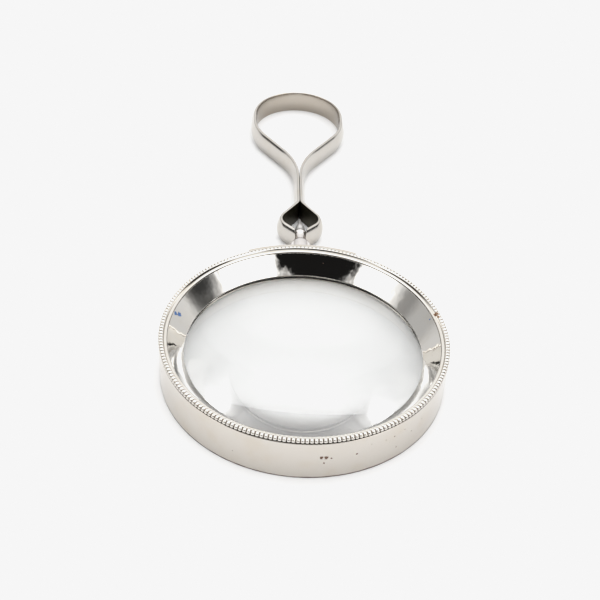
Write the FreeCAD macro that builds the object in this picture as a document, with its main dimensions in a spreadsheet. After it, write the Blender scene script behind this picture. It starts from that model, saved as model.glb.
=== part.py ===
import FreeCAD, Part
import Sketcher
import math
import os

# Hand magnifier: a round brass barrel holds a biconvex lens under a milled screw ring, and a bent
# spring band forms the handle. The band's two ends snap into the groove of a stud and turn there.
# Frame: +Z up, +Y towards the finger loop, origin at the middle of the footprint on the table.
# Each ring is drawn about its own axis and then placed; sizes along the handle count from that axis.

SIZES = {
    # whole object
    "overall_length": 136.1,
    "overall_width": 60.0,
    "rim_height": 10.4,
    # barrel: a drawn tube with a lip turned in at its foot
    "barrel_radius": 29.85,
    "barrel_bore": 28.95,
    "barrel_height": 9.3,
    "edge_break": 0.2,
    "lip_bore": 28.2,
    "lip_height": 0.5,
    # lens
    "lens_radius": 26.0,
    "lens_surface": 103.0,
    "lens_edge": 1.0,
    "lens_middle": 4.35,
    # seat ring under the lens
    "seat_radius": 28.9,
    "seat_register": 26.1,
    "seat_bore": 24.9,
    "seat_flare": 28.1,
    "seat_base": 0.53,
    "seat_land_low": 3.1,
    "seat_land_high": 3.54,
    "seat_ledge": 3.84,
    "seat_top": 4.85,
    # washer between the lens and the funnel
    "washer_bore": 24.9,
    "washer_radius": 25.9,
    "washer_inner_base": 5.17,
    "washer_outer_base": 4.93,
    "washer_thick": 0.28,
    # polished funnel, a pressed cone with a short collar
    "aperture": 24.8,
    "aperture_height": 5.8,
    "funnel_foot_height": 5.55,
    "funnel_heel": 25.3,
    "funnel_heel_height": 5.43,
    "funnel_shoulder": 27.8,
    "collar_base": 8.55,
    "collar_radius": 28.28,
    "collar_top": 9.42,
    "funnel_radius": 28.07,
    "funnel_height": 9.55,
    # milled screw ring
    "rim_bore": 28.15,
    "rim_base": 9.45,
    "rim_land_height": 9.85,
    "rim_crest_in": 29.15,
    "rim_crest_out": 29.5,
    "rim_side_height": 9.95,
    "skirt_radius": 28.92,
    "skirt_bore": 28.3,
    "skirt_base": 7.05,
    "milling_teeth": 214,
    "milling_depth": 0.22,
    "milling_groove": 0.42,
    # saddle plate on the back of the barrel, cut back to clear the milled ring
    "saddle_inner": 29.87,
    "saddle_clear": 30.06,
    "saddle_outer": 30.8,
    "saddle_base": 0.9,
    "saddle_step": 9.35,
    "saddle_top": 9.95,
    "saddle_angle": 46.0,
    # turned stud: its tenon is riveted through the saddle plate and the barrel wall
    "stud_height": 2.8,
    "rivet_start": 28.92,
    "rivet_radius": 1.45,
    "rivet_depth": 0.4,
    "tenon_radius": 1.1,
    "tenon_fit": 0.01,
    "foot_start": 30.81,
    "foot_radius": 2.6,
    "foot_end": 31.4,
    "body_radius": 2.45,
    "body_start": 32.0,
    "body_end": 39.7,
    "flare_radius": 1.95,
    "flare_end": 40.4,
    "neck_start": 40.9,
    "neck_end": 43.0,
    "neck_radius": 1.45,
    "head_start": 43.5,
    "head_end": 44.0,
    "head_radius": 1.75,
    "tip_end": 50.2,
    # handle band: a half-oval strip on edge, flat inside and crowned outside
    "band_height": 5.6,
    "band_thick": 1.3,
    "band_edge": 0.5,
    "band_gap": 0.06,
    "loop_radius": 11.75,
    "shoulder_bend": 13.0,
    "arm_angle": 36.0,
    "arm_corner": 71.3,
    "neck_bend": 19.4,
    "heart_apex": 53.87,
    "heart_bend": 2.5,
    "lobe_half_width": 6.03,
    "lobe_height": 46.39,
    "lobe_bend": 3.6,
    "end_angle": 46.0,
    "end_reach": 0.9,
    # the mouth cut across both ends of the band, which grips the stud's neck
    "mouth_clearance": 0.05,
    "mouth_lip": 1.15,
    "mouth_top": 1.55,
    "mouth_start": 40.0,
    "mouth_depth": 4.5,
}

doc = FreeCAD.newDocument("Magnifier")
sheet = doc.addObject("Spreadsheet::Sheet", "Sizes")
for row, (alias, value) in enumerate(SIZES.items(), start=1):
    sheet.set(f"A{row}", alias)
    sheet.set(f"B{row}", str(value))
    sheet.setAlias(f"B{row}", alias)
doc.recompute()

RING_Y = "(Sizes.overall_width - Sizes.overall_length) / 2"
SUB_PARTS = []


def size(alias):
    """A driving size, read back from the sheet."""
    return float(sheet.get(alias))


def sizes(text):
    """Turns 'bore base' into the two sheet formulas of a corner; a name may carry +, - or a product."""
    return tuple(f"Sizes.{name}" if name[0].isalpha() else name for name in text.split())


def new_body(name, height="0"):
    """An empty body on the ring's axis, with its place bound to the sheet."""
    body = doc.addObject("PartDesign::Body", name)
    body.Label = name
    body.setExpression(".Placement.Base.y", RING_Y)
    body.setExpression(".Placement.Base.z", height)
    SUB_PARTS.append(body)
    return body


def origin_feature(body, role):
    """One of the body's own origin planes or axes."""
    return next(f for f in body.Origin.OriginFeatures if f.Role == role)


def new_sketch(body, name, role):
    """A sketch on one of the body's own origin planes."""
    sketch = body.newObject("Sketcher::SketchObject", name)
    sketch.AttachmentSupport = [(origin_feature(body, role), "")]
    sketch.MapMode = "FlatFace"
    return sketch


def bound_polygon(sketch, corners):
    """A closed outline; each corner is a pair of sheet formulas, and each formula drives a constraint."""
    places = [tuple(float(sheet.evalExpression(f)) for f in corner) for corner in corners]
    count = len(places)
    for i, place in enumerate(places):
        following = places[(i + 1) % count]
        line = Part.LineSegment(FreeCAD.Vector(*place, 0), FreeCAD.Vector(*following, 0))
        sketch.addGeometry(line, False)
    for i in range(count):
        sketch.addConstraint(Sketcher.Constraint("Coincident", i, 2, (i + 1) % count, 1))
    for i, corner in enumerate(corners):
        for kind, formula, value in zip(("DistanceX", "DistanceY"), corner, places[i]):
            index = sketch.addConstraint(Sketcher.Constraint(kind, -1, 1, i, 1, value))
            sketch.setExpression(f"Constraints[{index}]", formula)


def revolve(body, name, role, corners, cut=False):
    """Turns an outline about its sketch's vertical axis, to add a solid or to cut one."""
    sketch = new_sketch(body, name + "_outline", role)
    bound_polygon(sketch, corners)
    kind = "PartDesign::Groove" if cut else "PartDesign::Revolution"
    feature = body.newObject(kind, name)
    feature.Profile = sketch
    feature.ReferenceAxis = (sketch, ["V_Axis"])
    feature.Angle = 360.0
    sketch.Visibility = False
    return feature


def turned(name, corners):
    """A ring or disc turned about the lens axis, from (radius, height) corners."""
    body = new_body(name)
    revolve(body, name + "_turned", "XZ_Plane", [sizes(corner) for corner in corners])
    return body


def tenon_hole(body):
    """The hole for the stud's tenon, countersunk on the inside for its riveted end."""
    wide = "Sizes.rivet_radius + Sizes.tenon_fit"
    narrow = "Sizes.tenon_radius + Sizes.tenon_fit"
    corners = [
        ("0", "Sizes.rivet_start - 1"),
        (wide, "Sizes.rivet_start - 1"),
        (wide, "Sizes.rivet_start"),
        (narrow, "Sizes.rivet_start + Sizes.rivet_depth"),
        (narrow, "Sizes.saddle_outer + 1"),
        ("0", "Sizes.saddle_outer + 1"),
    ]
    doc.recompute()
    before = body.Shape.Volume
    hole = revolve(body, body.Label + "_tenon_hole", "XY_Plane", corners, cut=True)
    hole.Profile[0].setExpression(".AttachmentOffset.Base.z", "Sizes.stud_height")
    doc.recompute()
    if body.Shape.Volume >= before - 1.0:
        raise ValueError(f"the tenon hole missed {body.Label}")


def make_barrel():
    body = turned("barrel", [
        "lip_bore 0",
        "barrel_radius 0",
        "barrel_radius barrel_height",
        "barrel_bore barrel_height",
        "barrel_bore lip_height",
        "lip_bore lip_height",
    ])
    doc.recompute()
    tube = body.Tip
    edge_break = body.newObject("PartDesign::Chamfer", "barrel_edge_break")
    edge_break.Base = (tube, [outer_circle(tube.Shape, size("barrel_radius"), 0.0)])
    edge_break.setExpression("Size", "Sizes.edge_break")
    tenon_hole(body)


def outer_circle(shape, radius, height):
    """The name of the circular edge of this radius at this height."""
    for number, edge in enumerate(shape.Edges, start=1):
        box = edge.BoundBox
        if abs(box.XMax - radius) < 1e-3 and abs(box.ZMax - height) < 1e-3 and box.ZLength < 1e-3:
            return f"Edge{number}"
    raise ValueError("no such edge")


def make_seat_ring():
    turned("seat_ring", [
        "seat_flare seat_base",
        "seat_radius seat_base",
        "seat_radius seat_top",
        "seat_register seat_top",
        "seat_register seat_ledge",
        "seat_bore seat_land_high",
        "seat_bore seat_land_low",
    ])


def make_lens():
    """The biconvex lens is what two large balls and a short rod have in common."""
    disc = doc.addObject("Part::Cylinder", "lens_disc")
    disc.setExpression("Radius", "Sizes.lens_radius")
    disc.setExpression("Height", "Sizes.rim_height")
    balls = []
    for name, side in (("lens_upper_ball", -1), ("lens_lower_ball", 1)):
        ball = doc.addObject("Part::Sphere", name)
        ball.setExpression("Radius", "Sizes.lens_surface")
        reach = "sqrt(Sizes.lens_surface^2 - Sizes.lens_radius^2)"
        ball.setExpression(
            ".Placement.Base.z", f"Sizes.lens_middle + {side} * ({reach} - Sizes.lens_edge / 2)"
        )
        balls.append(ball)
    lens = doc.addObject("Part::MultiCommon", "lens")
    lens.Label = "lens"
    lens.Shapes = [disc, *balls]
    lens.setExpression(".Placement.Base.y", RING_Y)
    SUB_PARTS.append(lens)


def make_lens_washer():
    body = new_body("lens_washer")
    revolve(body, "lens_washer_turned", "XZ_Plane", [
        ("Sizes.washer_bore", "Sizes.washer_inner_base"),
        ("Sizes.washer_radius", "Sizes.washer_outer_base"),
        ("Sizes.washer_radius", "Sizes.washer_outer_base + Sizes.washer_thick"),
        ("Sizes.washer_bore", "Sizes.washer_inner_base + Sizes.washer_thick"),
    ])


def make_funnel_ring():
    turned("funnel_ring", [
        "aperture aperture_height",
        "aperture funnel_foot_height",
        "funnel_heel funnel_heel_height",
        "funnel_shoulder collar_base",
        "collar_radius collar_base",
        "collar_radius collar_top",
        "funnel_radius collar_top",
        "funnel_radius funnel_height",
    ])


def make_milled_ring():
    """A rounded rim over a plain skirt, with shallow grooves all the way round its shoulder."""
    body = new_body("milled_ring")
    outer = "Sizes.overall_width / 2"
    shoulder = "(Sizes.overall_width / 2 + Sizes.rim_crest_out) / 2 + 0.1"
    revolve(body, "milled_ring_turned", "XZ_Plane", [
        ("Sizes.rim_bore", "Sizes.rim_base"),
        ("Sizes.skirt_bore", "Sizes.rim_base"),
        ("Sizes.skirt_bore", "Sizes.skirt_base"),
        ("Sizes.skirt_radius", "Sizes.skirt_base"),
        ("Sizes.skirt_radius", "Sizes.rim_base"),
        (outer, "Sizes.rim_base"),
        (outer, "Sizes.rim_side_height"),
        (shoulder, "Sizes.rim_height - 0.15"),
        ("Sizes.rim_crest_out", "Sizes.rim_height"),
        ("Sizes.rim_crest_in", "Sizes.rim_height"),
        ("Sizes.rim_bore", "Sizes.rim_land_height"),
    ])
    doc.recompute()
    before = body.Shape.Volume
    depth = "Sizes.milling_depth"
    outline = new_sketch(body, "milling_outline", "XZ_Plane")
    bound_polygon(outline, [
        (f"{outer} + {depth}", "Sizes.rim_base - 0.1"),
        (f"{outer} + {depth}", f"Sizes.rim_height + {depth}"),
        ("Sizes.rim_crest_in", f"Sizes.rim_height + {depth}"),
        ("Sizes.rim_crest_in", "Sizes.rim_height"),
        (f"Sizes.rim_crest_out - {depth} / 2", f"Sizes.rim_height - {depth}"),
        (f"{shoulder} - {depth} * 0.7", f"Sizes.rim_height - 0.15 - {depth} * 0.7"),
        (f"{outer} - {depth}", f"Sizes.rim_side_height - {depth} / 2"),
        (f"{outer} - {depth}", "Sizes.rim_base - 0.1"),
    ])
    groove = body.newObject("PartDesign::Pocket", "milling_groove")
    groove.Profile = outline
    groove.Midplane = True
    groove.setExpression("Length", "Sizes.milling_groove")
    milling = body.newObject("PartDesign::PolarPattern", "milling")
    milling.Originals = [groove]
    milling.Axis = (origin_feature(body, "Z_Axis"), [""])
    milling.Angle = 360.0
    milling.setExpression("Occurrences", "Sizes.milling_teeth")
    body.Tip = milling
    doc.recompute()
    if body.Shape.Volume >= before - 10.0:
        raise ValueError("the milling missed the rim")


def make_saddle_plate():
    body = new_body("saddle_plate")
    corners = [
        "saddle_inner saddle_base",
        "saddle_outer saddle_base",
        "saddle_outer saddle_top",
        "saddle_clear saddle_top",
        "saddle_clear saddle_step",
        "saddle_inner saddle_step",
    ]
    plate = revolve(body, "saddle_plate_bent", "YZ_Plane", [sizes(corner) for corner in corners])
    plate.Midplane = True
    plate.setExpression("Angle", "Sizes.saddle_angle")
    tenon_hole(body)


def make_stud():
    """The stud is turned about its own length, along the handle, down to a pointed tip."""
    body = new_body("stud", "Sizes.stud_height")
    corners = [
        "0 rivet_start",
        "rivet_radius rivet_start",
        ("Sizes.tenon_radius", "Sizes.rivet_start + Sizes.rivet_depth"),
        "tenon_radius foot_start",
        "foot_radius foot_start",
        "foot_radius foot_end",
        "body_radius body_start",
        "body_radius body_end",
        "flare_radius flare_end",
        "neck_radius neck_start",
        "neck_radius neck_end",
        "head_radius head_start",
        "head_radius head_end",
        ("Sizes.head_radius * 0.77", "Sizes.head_end + (Sizes.tip_end - Sizes.head_end) * 0.2"),
        ("Sizes.head_radius * 0.66", "Sizes.head_end + (Sizes.tip_end - Sizes.head_end) * 0.45"),
        ("Sizes.head_radius * 0.36", "Sizes.head_end + (Sizes.tip_end - Sizes.head_end) * 0.65"),
        ("Sizes.head_radius * 0.2", "Sizes.head_end + (Sizes.tip_end - Sizes.head_end) * 0.85"),
        "0 tip_end",
    ]
    corners = [sizes(corner) if isinstance(corner, str) else corner for corner in corners]
    revolve(body, "stud_turned", "XY_Plane", corners)


def band_bends():
    """Corners of the right half of the band's middle line, from its end to the side of the loop.

    Each is (x, y, bend radius). The strip runs straight between the bends and touches them.
    """
    neck = (size("band_thick") + size("band_gap")) / 2
    lobe = (size("lobe_half_width"), size("lobe_height"))
    end_run = lobe[0] - size("end_reach")
    end = (size("end_reach"), lobe[1] - end_run / math.tan(math.radians(size("end_angle"))))
    side = size("loop_radius")
    arm_rise = (side - neck) / math.tan(math.radians(size("arm_angle")))
    loop_centre = size("overall_length") - size("overall_width") / 2 - size("band_thick") / 2 - side
    return [
        (*end, 0.0),
        (*lobe, size("lobe_bend")),
        (neck, size("heart_apex"), size("heart_bend")),
        (neck, size("arm_corner"), size("neck_bend")),
        (side, size("arm_corner") + arm_rise, size("shoulder_bend")),
        (side, loop_centre, 0.0),
    ]


def band_line():
    """The middle line of the right half of the strip.

    A piece is its points: two for a line, three for an arc.
    """
    places = [(FreeCAD.Vector(x, y, 0), bend) for x, y, bend in band_bends()]
    here = places[0][0]
    run = (places[1][0] - here).normalize()
    pieces = []
    for (corner, bend), (following, _) in zip(places[1:-1], places[2:]):
        next_run = (following - corner).normalize()
        turn = math.atan2(run.x * next_run.y - run.y * next_run.x, run.dot(next_run))
        reach = bend * math.tan(abs(turn) / 2)
        start = corner - run * reach
        stop = corner + next_run * reach
        centre = start + left_of(run) * math.copysign(bend, turn)
        middle = centre + (corner - centre).normalize() * bend
        pieces += [(here, start), (start, middle, stop)]
        here = stop
        run = next_run
    pieces.append((here, places[-1][0]))
    return pieces


def left_of(direction):
    return FreeCAD.Vector(-direction.y, direction.x, 0)


def mirrored(pieces):
    """The same line on the other side of the handle."""
    return [tuple(FreeCAD.Vector(-point.x, point.y, 0) for point in piece) for piece in pieces]


def loop_back(radius):
    """The half circle round the back of the finger loop."""
    centre_y = band_bends()[-1][1]
    return tuple(FreeCAD.Vector(*place, 0) for place in
                 ((radius, centre_y), (0, centre_y + radius), (-radius, centre_y)))


def curve(piece):
    """The sketch curve through a piece's points."""
    return Part.LineSegment(*piece) if len(piece) == 2 else Part.ArcOfCircle(*piece)


def make_handle_band():
    """The band's half-oval section swept along its middle line, with a mouth cut in its ends."""
    body = new_body("handle_band")
    right = band_line()
    line = right + [loop_back(size("loop_radius"))] + mirrored(right)
    path = new_sketch(body, "handle_band_line", "XY_Plane")
    path.addGeometry([curve(piece) for piece in line], False)
    section = new_sketch(body, "handle_band_section", "XZ_Plane")
    inner = -size("band_thick") / 2
    edge = inner + size("band_edge")
    top = size("band_height")
    bottom_in, bottom_out, crown, top_out, top_in = (
        FreeCAD.Vector(x, z, 0)
        for x, z in ((inner, 0), (edge, 0), (-inner, top / 2), (edge, top), (inner, top)))
    section.addGeometry([curve(piece) for piece in (
        (bottom_in, bottom_out), (bottom_out, crown, top_out), (top_out, top_in), (top_in, bottom_in))], False)
    end_x, end_y, _ = band_bends()[0]
    section.AttachmentOffset = FreeCAD.Placement(
        FreeCAD.Vector(end_x, 0, -end_y), FreeCAD.Rotation(FreeCAD.Vector(0, 1, 0), -size("end_angle")))
    strip = body.newObject("PartDesign::AdditivePipe", "handle_band_strip")
    strip.Profile = section
    strip.Spine = (path, [])
    doc.recompute()
    before = body.Shape.Volume
    cut_mouth(body)
    doc.recompute()
    if body.Shape.Volume >= before - 0.5:
        raise ValueError("the mouth missed the band's ends")


def cut_mouth(body):
    """An hourglass opening along the stud's axis, round in the middle, for the stud's neck."""
    sketch = new_sketch(body, "handle_band_mouth_outline", "XZ_Plane")
    axis = size("stud_height")
    radius = size("neck_radius") + size("mouth_clearance")
    lip = size("mouth_lip")
    rise = math.sqrt(radius ** 2 - lip ** 2)
    wide = size("mouth_top")
    over = size("band_height") - axis
    places = ((wide, -over), (lip, -rise), (radius, 0), (lip, rise), (wide, over))
    right = [FreeCAD.Vector(x, axis + above, 0) for x, above in places]
    jaw = [(right[0], right[1]), tuple(right[1:4]), (right[3], right[4])]
    other_jaw = mirrored(jaw)
    closing = [(jaw[0][0], other_jaw[0][0]), (jaw[-1][-1], other_jaw[-1][-1])]
    sketch.addGeometry([curve(piece) for piece in jaw + other_jaw + closing], False)
    sketch.setExpression(".AttachmentOffset.Base.z", "-Sizes.mouth_start - Sizes.mouth_depth / 2")
    pocket = body.newObject("PartDesign::Pocket", "handle_band_mouth")
    pocket.Profile = sketch
    pocket.Midplane = True
    pocket.setExpression("Length", "Sizes.mouth_depth")


make_barrel()
make_seat_ring()
make_lens()
make_lens_washer()
make_funnel_ring()
make_milled_ring()
make_saddle_plate()
make_stud()
make_handle_band()

doc.recompute()
for item in doc.Objects:
    if "Invalid" in item.State or "Error" in item.State:
        raise ValueError(f"{item.Name} failed: {item.State}")
os.makedirs("parts", exist_ok=True)
for part in SUB_PARTS:
    if part.Shape.isNull() or not part.Shape.isValid() or not part.Shape.Solids:
        raise ValueError(f"{part.Label} has no valid solid")
for part in SUB_PARTS:
    part.Shape.exportStep(f"parts/{part.Label}.step")
    box = part.Shape.BoundBox
    print(f"{part.Label:14s} volume {part.Shape.Volume:8.1f}  "
          f"X {box.XMin:7.2f} {box.XMax:7.2f}  Y {box.YMin:7.2f} {box.YMax:7.2f}  "
          f"Z {box.ZMin:6.2f} {box.ZMax:6.2f}")
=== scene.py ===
import math

import bmesh
import bpy
from mathutils import Matrix, Vector


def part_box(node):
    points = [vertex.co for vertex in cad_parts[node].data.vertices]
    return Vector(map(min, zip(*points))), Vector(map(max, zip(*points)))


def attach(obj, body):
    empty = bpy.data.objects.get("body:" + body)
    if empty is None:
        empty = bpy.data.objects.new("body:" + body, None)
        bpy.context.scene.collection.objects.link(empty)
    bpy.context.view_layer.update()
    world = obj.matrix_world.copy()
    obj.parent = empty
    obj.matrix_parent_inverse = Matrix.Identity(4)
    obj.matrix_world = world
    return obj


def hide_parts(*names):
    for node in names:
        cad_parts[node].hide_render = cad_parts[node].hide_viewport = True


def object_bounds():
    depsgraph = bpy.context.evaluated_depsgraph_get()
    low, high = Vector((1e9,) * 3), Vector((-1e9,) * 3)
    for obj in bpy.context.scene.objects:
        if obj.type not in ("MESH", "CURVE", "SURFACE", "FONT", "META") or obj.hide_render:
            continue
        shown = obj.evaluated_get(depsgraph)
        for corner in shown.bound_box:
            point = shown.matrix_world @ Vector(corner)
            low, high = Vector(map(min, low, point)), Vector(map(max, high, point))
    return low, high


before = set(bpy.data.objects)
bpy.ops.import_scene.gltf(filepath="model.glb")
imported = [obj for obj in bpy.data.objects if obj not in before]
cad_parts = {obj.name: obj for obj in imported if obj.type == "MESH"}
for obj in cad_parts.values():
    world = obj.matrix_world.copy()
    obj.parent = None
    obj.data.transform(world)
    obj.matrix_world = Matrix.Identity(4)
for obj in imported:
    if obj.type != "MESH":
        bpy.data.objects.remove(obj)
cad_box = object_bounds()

MM = 0.001
TURN = 2 * math.pi

# The lens axis stands at the middle of the barrel. Heights and radii below are millimetres from it.
barrel_low, barrel_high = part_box("barrel")
AXIS = Vector(((barrel_low.x + barrel_high.x) / 2, (barrel_low.y + barrel_high.y) / 2, 0))
BARREL_RADIUS = (barrel_high.x - barrel_low.x) / 2 / MM
BARREL_HEIGHT = barrel_high.z / MM
RIM_RADIUS = (cad_box[1][0] - cad_box[0][0]) / 2 / MM
RIM_HEIGHT = cad_box[1][2] / MM
STUD_HEIGHT = (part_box("stud")[0].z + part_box("stud")[1].z) / 2 / MM
BAND_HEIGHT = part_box("handle_band")[1].z / MM
LOOP_BACK = (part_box("handle_band")[1].y - AXIS.y) / MM
TEETH = 214
APERTURE = 24.8
LENS_RADIUS = (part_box("lens")[1].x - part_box("lens")[0].x) / 2 / MM
FUNNEL_FOOT = 5.8
FUNNEL_TOP = 9.56
FUNNEL_MOUTH = 28.13


# ---------------------------------------------------------------- meshes

def new_piece(name, mesh, body, nodes, material):
    """Links a mesh as a piece that stands for CAD nodes and rides on their body."""
    mesh.shade_smooth()
    piece = bpy.data.objects.new(name, mesh)
    bpy.context.scene.collection.objects.link(piece)
    piece.data.materials.append(material)
    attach(piece, body)
    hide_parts(*nodes)
    return piece


def round_edges(piece, width, segments=3, angle=35):
    """Breaks the sharp edges as polishing does, and keeps the flats flat in the shading."""
    bevel = piece.modifiers.new("edge_break", "BEVEL")
    bevel.width = width * MM
    bevel.segments = segments
    bevel.limit_method = "ANGLE"
    bevel.angle_limit = math.radians(angle)
    bevel.harden_normals = True


def lathe(name, profile, segments, closed=True, start=0.0, sweep=TURN):
    """Turns (radius, height) corners about the lens axis; a closed profile makes a ring."""
    mesh = bpy.data.meshes.new(name)
    shape = bmesh.new()
    whole = sweep >= TURN
    columns = []
    for i in range(segments if whole else segments + 1):
        angle = start + sweep * i / segments
        across = Vector((math.cos(angle), math.sin(angle), 0))
        columns.append([shape.verts.new(AXIS + across * r * MM + Vector((0, 0, z * MM)))
                        for r, z in profile])
    bridge_columns(shape, columns, whole, closed)
    bmesh.ops.remove_doubles(shape, verts=shape.verts, dist=1e-7)
    bmesh.ops.recalc_face_normals(shape, faces=shape.faces)
    shape.to_mesh(mesh)
    shape.free()
    return mesh


def bridge_columns(shape, columns, wrap, closed):
    """Quads between neighbouring columns of points, with end faces where the sweep isn't whole."""
    rows = len(columns[0])
    pairs = list(zip(columns, columns[1:]))
    if wrap:
        pairs.append((columns[-1], columns[0]))
    for here, following in pairs:
        for j in range(rows if closed else rows - 1):
            k = (j + 1) % rows
            shape.faces.new((here[j], following[j], following[k], here[k]))
    if not wrap:
        shape.faces.new(columns[0])
        shape.faces.new(reversed(columns[-1]))


def make_barrel(material):
    """A drawn tube with its foot turned in."""
    lip, bore = 28.2, 28.95
    profile = [(lip, 0), (BARREL_RADIUS, 0), (BARREL_RADIUS, BARREL_HEIGHT), (bore, BARREL_HEIGHT),
               (bore, 0.5), (lip, 0.5)]
    piece = new_piece("barrel_tube", lathe("barrel_tube", profile, 360), "lens_cell",
                      ["barrel"], material)
    round_edges(piece, 0.16)


def make_seat_ring(material):
    """The ring under the lens, flared towards the table."""
    profile = [(28.1, 0.53), (28.9, 0.53), (28.9, 4.85), (26.1, 4.85), (26.1, 3.84), (24.9, 3.54),
               (24.9, 3.1)]
    piece = new_piece("lens_seat", lathe("lens_seat", profile, 360), "lens_cell",
                      ["seat_ring"], material)
    round_edges(piece, 0.08, segments=2)


def make_lens(material):
    """Two spherical faces and a ground edge."""
    radius, surface, edge, middle = 26.0, 103.0, 1.0, 4.35
    rings = 48
    sag = surface - math.sqrt(surface ** 2 - radius ** 2)
    upper = []
    for i in range(rings + 1):
        r = radius * i / rings
        upper.append((r, middle + edge / 2 + sag - surface + math.sqrt(surface ** 2 - r ** 2)))
    lower = [(r, 2 * middle - z) for r, z in reversed(upper)]
    mesh = lathe("lens_glass_disc", upper + lower, 240, closed=False)
    new_piece("lens_glass_disc", mesh, "lens_cell", ["lens"], material)
    mesh.set_sharp_from_angle(angle=math.radians(30))


def make_washer(material):
    """The thin dark ring between the glass and the funnel."""
    profile = [(24.9, 5.17), (25.9, 4.93), (25.9, 5.21), (24.9, 5.45)]
    new_piece("bedding_washer", lathe("bedding_washer", profile, 360), "lens_cell",
              ["lens_washer"], material)


def make_funnel(material):
    """The mirror-polished cone round the lens, slightly dished as a spun part is."""
    steps = 8
    face = []
    for i in range(steps + 1):
        share = i / steps
        dish = -0.05 * math.sin(math.pi * share)
        face.append((APERTURE + (FUNNEL_MOUTH - APERTURE) * share,
                     FUNNEL_FOOT + (FUNNEL_TOP - FUNNEL_FOOT) * share + dish))
    back = [(FUNNEL_MOUTH, 9.42), (28.28, 9.42), (28.28, 8.55), (27.8, 8.55), (25.3, 5.43), (APERTURE, 5.55)]
    piece = new_piece("polished_funnel", lathe("polished_funnel", face + back, 480), "lens_cell",
                      ["funnel_ring"], material)
    round_edges(piece, 0.06, segments=2, angle=30)


def make_rim(material):
    """The milled ring: a rounded bead whose teeth run over its shoulder, above a plain screwed skirt."""
    per_tooth = 10
    depth = 0.3
    bore, crest_in, crest_out, base, side = 28.15, 29.15, 29.5, 9.45, 9.9
    land_out, land_height = 28.75, 9.85
    under = [(crest_in + 0.25, base), (28.92, base), (28.92, 7.05), (28.3, 7.05), (28.3, base), (bore, base)]
    land = [(bore, 9.57), (bore + 0.05, 9.73), (bore + 0.16, 9.82), (bore + 0.28, land_height)]
    bead = []
    for i in range(13):
        share = i / 12
        swing = share * math.pi / 2
        place = (crest_out + (RIM_RADIUS - crest_out) * math.sin(swing),
                 side + (RIM_HEIGHT - side) * math.cos(swing))
        bead.append((place, (math.sin(swing), math.cos(swing)), 1.0))
    bead.insert(0, ((crest_in + 0.09, RIM_HEIGHT), (0, 1), 1.0))
    bead.insert(0, ((crest_in + 0.03, RIM_HEIGHT - 0.01), (0, 1), 0.7))
    bead.insert(0, ((crest_in, RIM_HEIGHT - 0.04), (0, 1), 0.3))
    for i in range(4, -1, -1):
        share = i / 5
        place = (land_out + (crest_in - land_out) * share,
                 land_height + (RIM_HEIGHT - 0.04 - land_height) * math.sin(share * math.pi / 2))
        bead.insert(0, (place, (0, 1), 0.0))
    bead.append(((RIM_RADIUS - 0.03, side - 0.12), (1, 0), 1.0))
    bead.append(((RIM_RADIUS - 0.12, side - 0.25), (1, 0), 0.8))
    bead.append(((RIM_RADIUS - 0.28, side - 0.36), (1, 0), 0.4))
    bead.append(((RIM_RADIUS - 0.5, side - 0.43), (1, 0), 0.0))
    mesh = bpy.data.meshes.new("milled_rim")
    shape = bmesh.new()
    groove_layer = shape.verts.layers.float.new("groove")
    columns = []
    for i in range(TEETH * per_tooth):
        angle = TURN * i / (TEETH * per_tooth)
        across = Vector((math.cos(angle), math.sin(angle), 0))
        phase = (i % per_tooth) / per_tooth
        valley = 1 - math.sin(math.pi * phase) ** 0.5
        column = []
        for r, z in land:
            column.append((r, z, 0.0))
        for (r, z), (out, up), amount in bead:
            cut = depth * valley * amount
            column.append((r - out * cut, z - up * cut, valley * amount))
        for r, z in under:
            column.append((r, z, 0.0))
        verts = []
        for r, z, valley_here in column:
            vert = shape.verts.new(AXIS + across * r * MM + Vector((0, 0, z * MM)))
            vert[groove_layer] = valley_here
            verts.append(vert)
        columns.append(verts)
    bridge_columns(shape, columns, True, True)
    bmesh.ops.recalc_face_normals(shape, faces=shape.faces)
    shape.to_mesh(mesh)
    shape.free()
    new_piece("milled_rim", mesh, "lens_cell", ["milled_ring"], material)
    mesh.set_sharp_from_angle(angle=math.radians(55))


def make_saddle(material):
    """The plate soldered round the back of the barrel."""
    half_sweep = math.radians(23)
    inner, outer, low, high = 29.87, 30.8, 0.9, 9.95
    clear, step = 30.06, 9.35
    profile = [(inner, low), (outer, low), (outer, high), (clear, high), (clear, step), (inner, step)]
    mesh = lathe("saddle", profile, 60, start=math.pi / 2 - half_sweep, sweep=2 * half_sweep)
    piece = new_piece("saddle", mesh, "lens_cell", ["saddle_plate"], material)
    round_edges(piece, 0.09)


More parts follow.
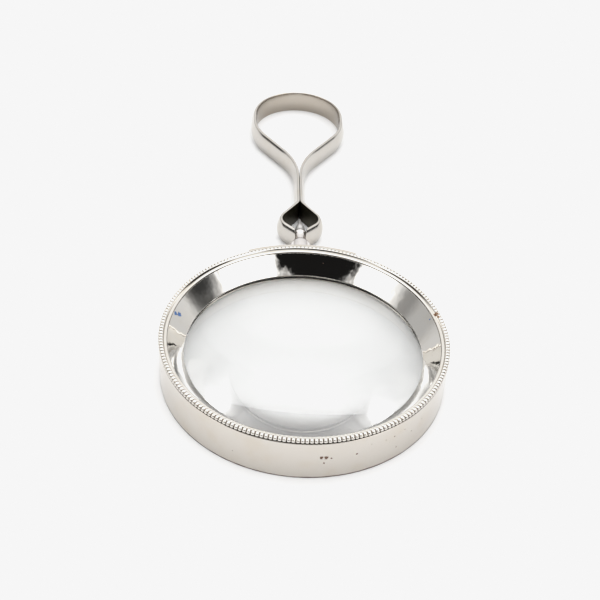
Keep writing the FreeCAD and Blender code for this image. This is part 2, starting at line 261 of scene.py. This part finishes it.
def make_stud(material):
    """The turned stud, lying along the handle, with its groove, its head and its drawn-out tip."""
    profile = [
        (0, 28.92), (1.45, 28.92), (1.1, 29.32), (1.1, 30.81), (2.6, 30.81), (2.6, 31.2), (2.55, 31.5),
        (2.48, 31.8), (2.44, 32.2), (2.44, 33.5), (2.44, 36.5), (2.44, 39.2), (2.38, 39.5), (2.22, 39.85),
        (1.96, 40.25), (1.7, 40.6), (1.5, 40.85), (1.45, 41.05), (1.45, 42.0), (1.45, 42.75),
        (1.52, 42.98), (1.66, 43.22), (1.74, 43.4), (1.74, 43.65), (1.68, 43.95), (1.52, 44.35),
        (1.34, 44.8), (1.23, 45.4), (1.13, 46.1), (0.99, 46.7), (0.79, 47.3), (0.6, 47.8),
        (0.46, 48.3), (0.35, 48.9), (0.27, 49.5), (0.16, 50.0), (0, 50.19),
    ]
    segments = 64
    mesh = bpy.data.meshes.new("turned_stud")
    shape = bmesh.new()
    centre = AXIS + Vector((0, 0, STUD_HEIGHT * MM))
    columns = []
    for i in range(segments):
        angle = TURN * i / segments
        across = Vector((math.cos(angle), 0, math.sin(angle)))
        columns.append([shape.verts.new(centre + across * r * MM + Vector((0, y * MM, 0)))
                        for r, y in profile])
    bridge_columns(shape, columns, True, False)
    bmesh.ops.remove_doubles(shape, verts=shape.verts, dist=1e-7)
    bmesh.ops.recalc_face_normals(shape, faces=shape.faces)
    shape.to_mesh(mesh)
    shape.free()
    new_piece("turned_stud", mesh, "lens_cell", ["stud"], material)
    mesh.set_sharp_from_angle(angle=math.radians(50))


# ---------------------------------------------------------------- handle band

BAND_THICK = 1.3
BAND_EDGE = 0.5
BAND_GAP = 0.06


def band_bends():
    """Corners (x, y, bend radius) of the right half of the strip's middle line, end to loop."""
    neck = (BAND_THICK + BAND_GAP) / 2
    lobe = (6.03, 46.39)
    reach, end_angle = 0.9, math.radians(46)
    side, arm_angle, arm_corner = 11.75, math.radians(36), 71.3
    end = (reach, lobe[1] - (lobe[0] - reach) / math.tan(end_angle))
    return [
        (*end, 0),
        (*lobe, 3.6),
        (neck, 53.87, 2.5),
        (neck, arm_corner, 19.4),
        (side, arm_corner + (side - neck) / math.tan(arm_angle), 13.0),
        (side, LOOP_BACK - BAND_THICK / 2 - side, 0),
    ]


def band_line():
    """Points and headings down the middle of the strip, from the right end round to the left end."""
    bends = [(Vector((x, y)), bend) for x, y, bend in band_bends()]
    run = (bends[1][0] - bends[0][0]).normalized()
    points = [(bends[0][0], run)]
    for (corner, bend), (following, _) in zip(bends[1:-1], bends[2:]):
        next_run = (following - corner).normalized()
        turn = math.atan2(run.x * next_run.y - run.y * next_run.x, run.dot(next_run))
        start = corner - run * bend * math.tan(abs(turn) / 2)
        side = Vector((-run.y, run.x)) * math.copysign(bend, turn)
        steps = max(4, round(abs(turn) / math.radians(3)))
        add_straight(points, start, run)
        for i in range(1, steps + 1):
            spin = Matrix.Rotation(turn * i / steps, 2)
            points.append((start + side - spin @ side, (spin @ run).normalized()))
        run = next_run
    centre = Vector((0, bends[-1][0].y))
    add_straight(points, bends[-1][0], run)
    steps = 60
    for i in range(1, steps // 2 + 1):
        angle = math.pi * i / steps
        points.append((centre + Vector((math.cos(angle), math.sin(angle))) * bends[-1][0].x,
                       Vector((-math.sin(angle), math.cos(angle)))))
    other = [(Vector((-p.x, p.y)), Vector((run.x, -run.y))) for p, run in reversed(points[:-1])]
    return points + other


def add_straight(points, end, run):
    """Points every millimetre or so along a straight stretch."""
    start = points[-1][0]
    count = max(1, round((end - start).length / 1.2))
    for i in range(1, count + 1):
        points.append((start.lerp(end, i / count), run))


def make_band(material):
    """The half-oval strip on edge: flat inside, crowned outside, with a mouth for the stud's neck."""
    half, middle, round_off = BAND_THICK / 2, BAND_HEIGHT / 2, 0.14
    crown_radius = (middle ** 2 + (BAND_THICK - BAND_EDGE) ** 2) / (2 * (BAND_THICK - BAND_EDGE))
    crown_sweep = math.asin(middle / crown_radius)
    upper = []
    for i in range(15):
        swing = crown_sweep * 0.96 * i / 14
        upper.append((half - crown_radius * (1 - math.cos(swing)), crown_radius * math.sin(swing)))
    edge = half - crown_radius * (1 - math.cos(crown_sweep))
    upper += [(edge - 0.02, middle - 0.07), (edge - 0.07, middle - 0.02), (edge - round_off, middle)]
    upper += [(round_off - half, middle), (0.04 - half, middle - 0.04), (-half, middle - round_off)]
    section = [Vector((x, middle + z)) for x, z in upper]
    section += [Vector((x, middle - z)) for x, z in reversed(upper) if z > 0]
    mesh = bpy.data.meshes.new("handle_strip")
    shape = bmesh.new()
    columns = []
    for point, run in band_line():
        left = Vector((-run.y, run.x))
        columns.append([
            shape.verts.new(AXIS + Vector((point.x - left.x * s.x, point.y - left.y * s.x, s.y)) * MM)
            for s in section])
    bridge_columns(shape, columns, False, True)
    bmesh.ops.recalc_face_normals(shape, faces=shape.faces)
    shape.to_mesh(mesh)
    shape.free()
    piece = new_piece("handle_strip", mesh, "handle", ["handle_band"], material)
    mesh.set_sharp_from_angle(angle=math.radians(50))
    cut_mouth(piece)


def cut_mouth(piece):
    """Takes the hourglass mouth out of both ends, where they close round the stud's neck."""
    radius, lip, top = 1.5, 1.15, 1.55
    rise = math.sqrt(radius ** 2 - lip ** 2)
    over = BAND_HEIGHT - STUD_HEIGHT + 0.5
    flank = math.atan2(rise, lip)
    jaw = [(top, -over), (lip, -rise)]
    for i in range(1, 16):
        angle = -flank + 2 * flank * i / 16
        jaw.append((radius * math.cos(angle), radius * math.sin(angle)))
    jaw += [(lip, rise), (top, over)]
    outline = jaw + [(-x, z) for x, z in reversed(jaw)]
    mesh = bpy.data.meshes.new("mouth_cutter")
    shape = bmesh.new()
    columns = [[shape.verts.new(AXIS + Vector((x, y, STUD_HEIGHT + z)) * MM) for x, z in outline]
               for y in (40.0, 44.5)]
    bridge_columns(shape, columns, False, True)
    bmesh.ops.recalc_face_normals(shape, faces=shape.faces)
    shape.to_mesh(mesh)
    shape.free()
    cutter = bpy.data.objects.new("mouth_cutter", mesh)
    bpy.context.scene.collection.objects.link(cutter)
    cut = piece.modifiers.new("mouth", "BOOLEAN")
    cut.operation = "DIFFERENCE"
    cut.solver = "EXACT"
    cut.object = cutter
    bpy.context.view_layer.update()
    graph = bpy.context.evaluated_depsgraph_get()
    result = bpy.data.meshes.new_from_object(piece.evaluated_get(graph))
    piece.modifiers.clear()
    piece.data = result
    bpy.data.objects.remove(cutter)


# ---------------------------------------------------------------- materials

class Wiring:
    """Short ways to add and join shader nodes."""

    def __init__(self, tree):
        self.tree = tree
        tree.nodes.clear()

    def add(self, kind, inputs=None, **settings):
        node = self.tree.nodes.new(kind)
        for key, value in settings.items():
            setattr(node, key, value)
        for key, value in (inputs or {}).items():
            self.feed(node.inputs[key], value)
        return node

    def feed(self, socket, value):
        if isinstance(value, bpy.types.NodeSocket):
            self.tree.links.new(value, socket)
        else:
            socket.default_value = value

    def math(self, operation, a, b=0.0, clamp=False):
        return self.add("ShaderNodeMath", {0: a, 1: b}, operation=operation, use_clamp=clamp).outputs[0]

    def vector_math(self, operation, a, b=(0, 0, 0)):
        node = self.add("ShaderNodeVectorMath", {0: a, 1: b}, operation=operation)
        return node.outputs["Value" if operation in ("DISTANCE", "LENGTH", "DOT_PRODUCT") else "Vector"]

    def step(self, value, low, high, start=0.0, end=1.0):
        """Runs smoothly from start to end as value goes from low to high."""
        node = self.add("ShaderNodeMapRange", {0: value, 1: low, 2: high, 3: start, 4: end},
                        interpolation_type="SMOOTHSTEP")
        return node.outputs[0]

    def noise(self, place, scale, detail=2.0, roughness=0.5):
        node = self.add("ShaderNodeTexNoise", {"Vector": place, "Scale": scale, "Detail": detail,
                                               "Roughness": roughness})
        return node.outputs["Fac"]

    def mix(self, share, a, b):
        node = self.add("ShaderNodeMix", data_type="RGBA")
        self.feed(node.inputs[0], share)
        self.feed(node.inputs[6], a)
        self.feed(node.inputs[7], b)
        return node.outputs[2]

    def place(self):
        """Places on the object, in metres in the shared frame."""
        return self.add("ShaderNodeTexCoord").outputs["Object"]

    def stretched(self, place, scale):
        return self.add("ShaderNodeMapping", {"Vector": place, "Scale": scale}).outputs[0]


def new_material(name):
    material = bpy.data.materials.new(name)
    material.use_nodes = True
    return material, Wiring(material.node_tree)


def finish_material(wiring, shader):
    wiring.add("ShaderNodeOutputMaterial", {"Surface": shader})


def round_the_axis(wiring, place):
    """Distance from the lens axis, angle round it and height, for patterns that follow the turning."""
    local = wiring.vector_math("SUBTRACT", place, tuple(AXIS))
    parts = wiring.add("ShaderNodeSeparateXYZ", {0: local})
    x, y, z = parts.outputs
    squares = wiring.math("ADD", wiring.math("MULTIPLY", x, x), wiring.math("MULTIPLY", y, y))
    radius = wiring.math("SQRT", squares)
    angle = wiring.math("ARCTAN2", x, wiring.math("MULTIPLY", y, -1.0))
    return radius, angle, z


def turned_place(wiring, place, scale_round, scale_up):
    """A pattern space that unrolls the ring: long round it and short across it."""
    radius, angle, z = round_the_axis(wiring, place)
    return wiring.add("ShaderNodeCombineXYZ", {
        0: wiring.math("MULTIPLY", angle, scale_round),
        1: wiring.math("MULTIPLY", wiring.math("ADD", z, radius), scale_up),
        2: 0.0,
    }).outputs[0]


def spot_at(angle, radius, height):
    """A point on the ring: angle in degrees from the front towards the right, sizes in mm."""
    swing = math.radians(angle)
    return tuple(AXIS + Vector((math.sin(swing) * radius, -math.cos(swing) * radius, height)) * MM)


def cone_spot(angle, radius):
    """A point on the funnel's cone."""
    share = (radius - APERTURE) / (FUNNEL_MOUTH - APERTURE)
    return spot_at(angle, radius, FUNNEL_FOOT + (FUNNEL_TOP - FUNNEL_FOOT) * share)


def spots(wiring, place, marks, raggedness=0.5):
    """1 inside any of the marks (point, size in mm), with torn edges."""
    ragged = wiring.noise(place, 2600.0, 3.0)
    cover = None
    for point, width in marks:
        far = wiring.vector_math("DISTANCE", place, point)
        far = wiring.math("ADD", far, wiring.math("MULTIPLY", wiring.math("SUBTRACT", ragged, 0.5),
                                                  2 * raggedness * width * MM))
        inside = wiring.step(far, width * 0.42 * MM, width * 0.5 * MM, 1.0, 0.0)
        cover = inside if cover is None else wiring.math("MAXIMUM", cover, inside)
    return cover


OLD_COPPER = (0.10, 0.05, 0.03, 1)


def nickel(name, tint, roughness, grain="round", wave=6e-6, wave_scale=260.0, stain=0.25, marks=(),
           mark_color=OLD_COPPER, extra=None):
    """Nickel plate: slightly warm, uneven from old polishing, with fine lines along the work."""
    material, w = new_material(name)
    place = w.place()
    if grain == "round":
        along = turned_place(w, place, 1.0, 9000.0)
    elif grain == "length":
        along = w.stretched(place, (9000.0, 60.0, 9000.0))
    else:
        along = w.stretched(place, (900.0, 900.0, 9000.0))
    lines = w.noise(along, 1.0, 3.0)
    cloud = w.noise(place, 190.0, 4.0, 0.6)
    patch = w.noise(place, 60.0, 3.0)
    warm = (tint[0] * 0.93, tint[1] * 0.88, tint[2] * 0.80, 1)
    color = w.mix(w.step(cloud, 0.42, 0.75, 0.0, stain), (*tint, 1), warm)
    shine = w.math("ADD", w.step(patch, 0.3, 0.7, roughness * 0.8, roughness * 1.25),
                   w.step(lines, 0.55, 0.8, 0.0, roughness * 0.5))
    metal = 1.0
    if extra is not None:
        color, shine = extra(w, place, color, shine)
    if marks:
        cover = spots(w, place, marks)
        color = w.mix(cover, color, mark_color)
        shine = w.math("ADD", shine, w.math("MULTIPLY", cover, 0.35))
        metal = w.math("SUBTRACT", 1.0, w.math("MULTIPLY", cover, 0.6))
    waves = w.add("ShaderNodeBump", {"Strength": 1.0, "Distance": wave,
                                     "Height": w.noise(place, wave_scale, 2.0)})
    fine = w.add("ShaderNodeBump", {"Strength": 1.0, "Distance": 2.5e-7, "Height": lines,
                                    "Normal": waves.outputs[0]})
    shader = w.add("ShaderNodeBsdfPrincipled", {
        "Base Color": color, "Metallic": metal, "Roughness": shine, "Normal": fine.outputs[0]})
    finish_material(w, shader.outputs[0])
    return material


def barrel_nickel():
    """The barrel's wall: specks where the plate has gone, and a line of painted contact shade at its foot.
    """
    marks = [
        (spot_at(5.6, BARREL_RADIUS, 5.65), 0.75), (spot_at(7.4, BARREL_RADIUS, 5.7), 0.85),
        (spot_at(9.3, BARREL_RADIUS, 5.35), 0.5), (spot_at(6.7, BARREL_RADIUS, 4.2), 0.42),
        (spot_at(19, BARREL_RADIUS, 5.4), 0.42), (spot_at(24.8, BARREL_RADIUS, 7.0), 0.22),
        (spot_at(31, BARREL_RADIUS, 6.6), 0.2), (spot_at(35, BARREL_RADIUS, 6.5), 0.26),
        (spot_at(36.5, BARREL_RADIUS, 3.1), 0.28), (spot_at(40, BARREL_RADIUS, 6.9), 0.2),
        (spot_at(44, BARREL_RADIUS, 5.0), 0.24), (spot_at(50, BARREL_RADIUS, 6.2), 0.2),
        (spot_at(-28, BARREL_RADIUS, 3.4), 0.18), (spot_at(140, BARREL_RADIUS, 5.0), 0.3),
        (spot_at(-75, BARREL_RADIUS, 6.1), 0.22), (spot_at(-152, BARREL_RADIUS, 3.2), 0.34),
    ]

    def foot_contact_shade(w, place, color, shine):
        parts = w.add("ShaderNodeSeparateXYZ", {0: place})
        uneven = w.noise(place, 420.0, 3.0)
        height = w.math("ADD", parts.outputs[2], w.math("MULTIPLY", w.math("SUBTRACT", uneven, 0.5), 0.0003))
        # Painted contact shade: the lowest half millimetre of the wall, where it meets the table, is painted
        # dark brown and made rougher.
        contact_shade_mask = w.step(height, 0.0002, 0.00048, 0.95, 0.0)
        shine = w.math("ADD", shine, w.math("MULTIPLY", contact_shade_mask, 0.3))
        return w.mix(contact_shade_mask, color, (0.075, 0.045, 0.035, 1)), shine

    return nickel("barrel_nickel", (0.55, 0.516, 0.472), 0.13, wave=5e-6, stain=0.5, marks=marks,
                  extra=foot_contact_shade)


def funnel_nickel():
    """The funnel's mirror polish, with a few flecks."""
    marks = [(cone_spot(88, 27.67), 0.3), (cone_spot(88.2, 26.93), 0.28), (cone_spot(64, 26.4), 0.22),
             (cone_spot(-150, 26.2), 0.2), (cone_spot(170, 26.9), 0.2)]

    def paint_fleck(w, place, color, shine):
        """Flecks of old blue paint, two on the left and a small one on the right."""
        fleck = [(cone_spot(-104.2, 27.7), 1.0), (cone_spot(-105.6, 27.1), 1.1),
                 (cone_spot(105.4, 27.7), 0.4)]
        cover = spots(w, place, fleck, 0.45)
        return (w.mix(cover, color, (0.10, 0.19, 0.42, 1)),
                w.math("ADD", shine, w.math("MULTIPLY", cover, 0.4)))

    return nickel("funnel_nickel", (0.68, 0.66, 0.625), 0.03, wave=3e-5, wave_scale=300.0, stain=0.3,
                  marks=marks, extra=paint_fleck)


def rim_nickel():
    """The milled ring: bright on its teeth; brown and coppery in its grooves from tarnish plus painted
    shade; painted shade under its bead.
    """
    marks = [(spot_at(105.6, 28.9, 10.2), 1.1), (spot_at(103.6, 29.1, 10.3), 0.7)]

    def tarnish_and_painted_shade(w, place, color, shine):
        groove = w.add("ShaderNodeAttribute", attribute_name="groove").outputs["Fac"]
        radius, angle, height = round_the_axis(w, place)
        side = w.step(w.math("SINE", w.math("ADD", angle, 0.5)), -0.4, 0.9)
        front = w.step(w.math("COSINE", angle), -0.2, 0.95)
        patchy = w.noise(place, 150.0, 3.0)
        # Grooves painted dark brown: partly tarnish in the hollows, partly painted shade, stronger towards
        # the front and the right side.
        deep = w.math("MULTIPLY", w.step(groove, 0.25, 0.75),
                      w.math("ADD", 0.6, w.math("MULTIPLY", w.math("MAXIMUM", side, front), 0.4)), True)
        color = w.mix(deep, color, (0.11, 0.07, 0.045, 1))
        # Painted shade: the ring's lowest band, under the bead and below about 9.7 mm, is painted near
        # black.
        under = w.step(w.math("ADD", height, w.math("MULTIPLY", patchy, 0.00012)), 0.00979, 0.00969)
        color = w.mix(w.math("MULTIPLY", under, 0.95), color, (0.028, 0.014, 0.010, 1))
        return color, w.math("ADD", shine, w.math("MULTIPLY", deep, 0.35), True)

    return nickel("rim_nickel", (0.63, 0.60, 0.555), 0.1, wave=2e-6, stain=0.5, marks=marks,
                  mark_color=(0.20, 0.11, 0.06, 1), extra=tarnish_and_painted_shade)


def handle_nickel():
    """The strip's softer plate, painted near black inside the heart: painted shade with some tarnish."""
    def heart_shade_and_tarnish(w, place, color, shine):
        local = w.add("ShaderNodeSeparateXYZ", {0: w.vector_math("SUBTRACT", place, tuple(AXIS))})
        x, y = local.outputs[:2]
        normal = w.add("ShaderNodeSeparateXYZ", {0: w.add("ShaderNodeNewGeometry").outputs["Normal"]})
        across = w.math("ABSOLUTE", x)
        facing_in = w.math("MULTIPLY", normal.outputs[0], w.math("SIGN", x))
        inner = w.step(facing_in, 0.05, -0.3)
        flat = w.step(w.math("ABSOLUTE", normal.outputs[2]), 0.75, 0.5)
        heart = w.math("MULTIPLY", w.step(y, 0.0545, 0.0538), w.step(y, 0.0422, 0.0428))
        # Painted shade with some tarnish: the heart's inward, upright faces are painted near black.
        dark = w.math("MULTIPLY", w.math("MULTIPLY", inner, heart), flat)
        color = w.mix(w.math("MULTIPLY", dark, 0.93), color, (0.034, 0.029, 0.014, 1))
        # The loop's inward-facing faces are painted a darker warm grey.
        loop_centre = (AXIS.x, AXIS.y + (LOOP_BACK - 12.4) * MM, BAND_HEIGHT / 2 * MM)
        outward = w.vector_math("NORMALIZE", w.vector_math("SUBTRACT", place, loop_centre))
        facing_loop = w.vector_math("DOT_PRODUCT", w.add("ShaderNodeNewGeometry").outputs["Normal"], outward)
        loop_inside_grey = w.math("MULTIPLY", w.step(facing_loop, -0.35, -0.7), w.step(y, 0.074, 0.080))
        color = w.mix(w.math("MULTIPLY", loop_inside_grey, 0.6), color, (0.34, 0.29, 0.235, 1))
        seam = w.math("MULTIPLY", w.step(across, 0.00012, 0.00005), w.step(y, 0.072, 0.069))
        color = w.mix(w.math("MULTIPLY", seam, 0.7), color, (0.10, 0.08, 0.06, 1))
        return color, w.math("ADD", shine, w.math("MULTIPLY", dark, 0.25))

    return nickel("handle_nickel", (0.47, 0.447, 0.415), 0.15, grain="strip", wave=5e-6, stain=0.45,
                  extra=heart_shade_and_tarnish)


def stud_nickel():
    """The stud, with drawn lines along its length and its tip painted pale as painted light."""
    def streaks_and_tip_light(w, place, color, shine):
        lines = w.noise(w.stretched(place, (1800.0, 90.0, 1800.0)), 1.0, 2.0)
        color = w.mix(w.step(lines, 0.45, 0.7, 0.0, 0.45), color, (0.52, 0.47, 0.45, 1))
        along = w.add("ShaderNodeSeparateXYZ", {0: w.vector_math("SUBTRACT", place, tuple(AXIS))}).outputs[1]
        # Painted light: the stud's tip is painted pale and made rougher.
        tip = w.step(along, 0.0436, 0.0446)
        return w.mix(tip, color, (0.80, 0.78, 0.76, 1)), w.math("ADD", shine, w.math("MULTIPLY", tip, 0.22))

    return nickel("stud_nickel", (0.63, 0.60, 0.58), 0.2, grain="length", wave=3e-6, extra=streaks_and_tip_light)


def blackened():
    """Blackened brass, a little uneven."""
    material, w = new_material("blackened_brass")
    place = w.place()
    tone = w.mix(w.step(w.noise(place, 500.0, 3.0), 0.3, 0.7), (0.012, 0.011, 0.010, 1),
                 (0.03, 0.028, 0.022, 1))
    shader = w.add("ShaderNodeBsdfPrincipled", {"Base Color": tone, "Metallic": 0.3, "Roughness": 0.5})
    finish_material(w, shader.outputs[0])
    return material


def glass():
    """Crown glass with a hint of green, a ground edge and a few specks of dust."""
    material, w = new_material("lens_glass")
    place = w.place()
    clear = w.add("ShaderNodeBsdfPrincipled", {
        "Base Color": (0.995, 1.0, 0.995, 1), "Roughness": 0.0, "IOR": 1.52, "Transmission Weight": 1.0})
    grit = w.add("ShaderNodeBsdfPrincipled", {"Base Color": (0.25, 0.24, 0.22, 1), "Roughness": 0.8})
    cells = w.add("ShaderNodeTexVoronoi", {"Vector": place, "Scale": 190.0, "Randomness": 1.0})
    size_here = w.add("ShaderNodeSeparateColor", {0: cells.outputs["Color"]}).outputs[0]
    reach = w.step(size_here, 0.86, 1.0, 0.0, 0.032)
    speck = w.math("LESS_THAN", cells.outputs["Distance"], reach)
    dusty = w.add("ShaderNodeMixShader", {0: w.math("MULTIPLY", speck, 0.5), 1: clear.outputs[0],
                                          2: grit.outputs[0]})
    ground = w.add("ShaderNodeBsdfDiffuse", {"Color": (0.62, 0.66, 0.60, 1), "Roughness": 1.0})
    edge = w.math("GREATER_THAN", round_the_axis(w, place)[0], LENS_RADIUS * MM * 0.9985)
    shader = w.add("ShaderNodeMixShader", {0: edge, 1: dusty.outputs[0], 2: ground.outputs[0]})
    finish_material(w, shader.outputs[0])
    return material


def floor_paper():
    """The pale table: even, with the faintest tooth."""
    material, w = new_material("pale_table")
    place = w.place()
    tone = w.mix(w.noise(place, 40.0, 3.0), (0.905, 0.905, 0.905, 1), (0.925, 0.925, 0.925, 1))
    shader = w.add("ShaderNodeBsdfPrincipled", {"Base Color": tone, "Roughness": 0.9,
                                                "Specular IOR Level": 0.1})
    finish_material(w, shader.outputs[0])
    return material


# ---------------------------------------------------------------- stage

def patch(w, direction, centre, half_width, half_height, edge):
    """1 inside an oval patch of the surroundings round this direction, fading to 0 over its edge."""
    centre = Vector(centre).normalized()
    across = centre.cross(Vector((0, 0, 1))).normalized()
    up = across.cross(centre)
    u = w.math("DIVIDE", w.vector_math("DOT_PRODUCT", direction, tuple(across)), half_width)
    v = w.math("DIVIDE", w.vector_math("DOT_PRODUCT", direction, tuple(up)), half_height)
    facing = w.math("GREATER_THAN", w.vector_math("DOT_PRODUCT", direction, tuple(centre)), 0.0)
    far = w.math("SQRT", w.math("ADD", w.math("MULTIPLY", u, u), w.math("MULTIPLY", v, v)))
    return w.math("MULTIPLY", w.step(far, 1 + edge, 1 - edge), facing)


# Patches of the surroundings: direction, half width, half height, edge, brightness, strength.
SURROUNDINGS = (
    ((0.0, 0.25, 0.97), 0.52, 0.42, 0.25, 3.0, 1.0),  # light overhead
    ((0.63, -0.45, 0.60), 0.36, 0.24, 0.25, 3.2, 1.0),  # soft window, front right
    ((-0.74, -0.36, 0.57), 0.26, 0.22, 0.25, 3.2, 1.0),  # soft window, front left
    ((0.90, 0.08, 0.39), 0.26, 0.15, 0.6, 0.16, 0.95),  # dark corner, right
    ((-0.88, 0.34, 0.32), 0.36, 0.22, 0.4, 0.60, 1.0),  # grey wall, left
    ((-0.90, 0.10, 0.42), 0.15, 0.11, 0.6, 0.34, 0.9),  # darker part of that wall
    ((0.96, -0.12, 0.21), 0.40, 0.25, 0.2, 0.05, 1.0),  # low dark space, right
    ((-0.97, -0.12, 0.17), 0.40, 0.19, 0.2, 0.06, 1.0),  # low dark space, left
    ((-0.13, -0.79, 0.58), 0.66, 0.27, 0.12, 0.012, 1.0),  # dark space behind the camera
)


def make_surroundings():
    """A white studio tent with soft windows, darker corners and a dark space in front; plain where seen."""
    world = bpy.data.worlds.new("studio")
    bpy.context.scene.world = world
    world.use_nodes = True
    w = Wiring(world.node_tree)
    direction = w.add("ShaderNodeTexCoord").outputs["Generated"]
    wobble = w.noise(direction, 14.0, 5.0, 0.65)
    shaken = w.vector_math("ADD", direction, w.add("ShaderNodeCombineXYZ", {
        0: w.math("MULTIPLY", w.math("SUBTRACT", wobble, 0.5), 0.45), 1: 0.0, 2: 0.0}).outputs[0])
    height = w.add("ShaderNodeSeparateXYZ", {0: direction}).outputs[2]
    tone = w.step(height, 0.1, 0.6, 0.86, 1.4)
    for centre, half_width, half_height, edge, value, strength in SURROUNDINGS:
        cover = w.math("MULTIPLY", patch(w, shaken, centre, half_width, half_height, edge), strength)
        tone = w.math("ADD", w.math("MULTIPLY", tone, w.math("SUBTRACT", 1.0, cover)),
                      w.math("MULTIPLY", cover, value))
    seen_directly = w.add("ShaderNodeLightPath").outputs["Is Camera Ray"]
    tone = w.math("ADD", w.math("MULTIPLY", tone, w.math("SUBTRACT", 1.0, seen_directly)),
                  w.math("MULTIPLY", seen_directly, 1.3))
    color = w.add("ShaderNodeCombineXYZ", {0: tone, 1: tone, 2: tone}).outputs[0]
    shader = w.add("ShaderNodeBackground", {"Color": color, "Strength": 1.0})
    w.add("ShaderNodeOutputWorld", {"Surface": shader.outputs[0]})


def make_floor(material):
    half = 3.0
    mesh = bpy.data.meshes.new("table_top")
    shape = bmesh.new()
    corners = [shape.verts.new((x * half, y * half, 0)) for x, y in ((-1, -1), (1, -1), (1, 1), (-1, 1))]
    shape.faces.new(corners)
    shape.to_mesh(mesh)
    shape.free()
    floor = bpy.data.objects.new("table_top", mesh)
    bpy.context.scene.collection.objects.link(floor)
    mesh.materials.append(material)


def set_picture_tone():
    """A plain transform whose whites roll off just under full white."""
    view = bpy.context.scene.view_settings
    view.view_transform = "Standard"
    view.use_curve_mapping = True
    view.curve_mapping.extend = "HORIZONTAL"
    curve = view.curve_mapping.curves[3]
    curve.points[-1].location = (1.0, 0.922)
    curve.points.new(0.75, 0.75)
    curve.points.new(0.88, 0.855)
    view.curve_mapping.update()


def set_light_paths():
    """Light runs along inside the lens and leaves after four or more internal reflections."""
    cycles = bpy.context.scene.cycles
    cycles.max_bounces = 20
    cycles.glossy_bounces = 14
    cycles.transmission_bounces = 16


def make_camera():
    """Stands in front of the lens and looks down its length at 40 degrees, slightly rolled."""
    camera_data = bpy.data.cameras.new("camera")
    camera_data.lens = 72.0
    camera_data.sensor_width = 36.0
    camera = bpy.data.objects.new("camera", camera_data)
    bpy.context.scene.collection.objects.link(camera)
    place = AXIS + Vector((-11.87, -183.84, 174.10)) * MM
    target = AXIS + Vector((-0.15, 23.18, 0.0)) * MM
    roll = math.radians(3.81)
    camera.matrix_world = (Matrix.Translation(place)
                           @ (target - place).to_track_quat("-Z", "Y").to_matrix().to_4x4()
                           @ Matrix.Rotation(roll, 4, "Z"))
    bpy.context.scene.camera = camera


set_picture_tone()
set_light_paths()
make_camera()
make_surroundings()
make_floor(floor_paper())
barrel_metal = barrel_nickel()
make_barrel(barrel_metal)
make_seat_ring(barrel_metal)
make_saddle(barrel_metal)
make_lens(glass())
make_washer(blackened())
make_funnel(funnel_nickel())
make_rim(rim_nickel())
make_stud(stud_nickel())
make_band(handle_nickel())
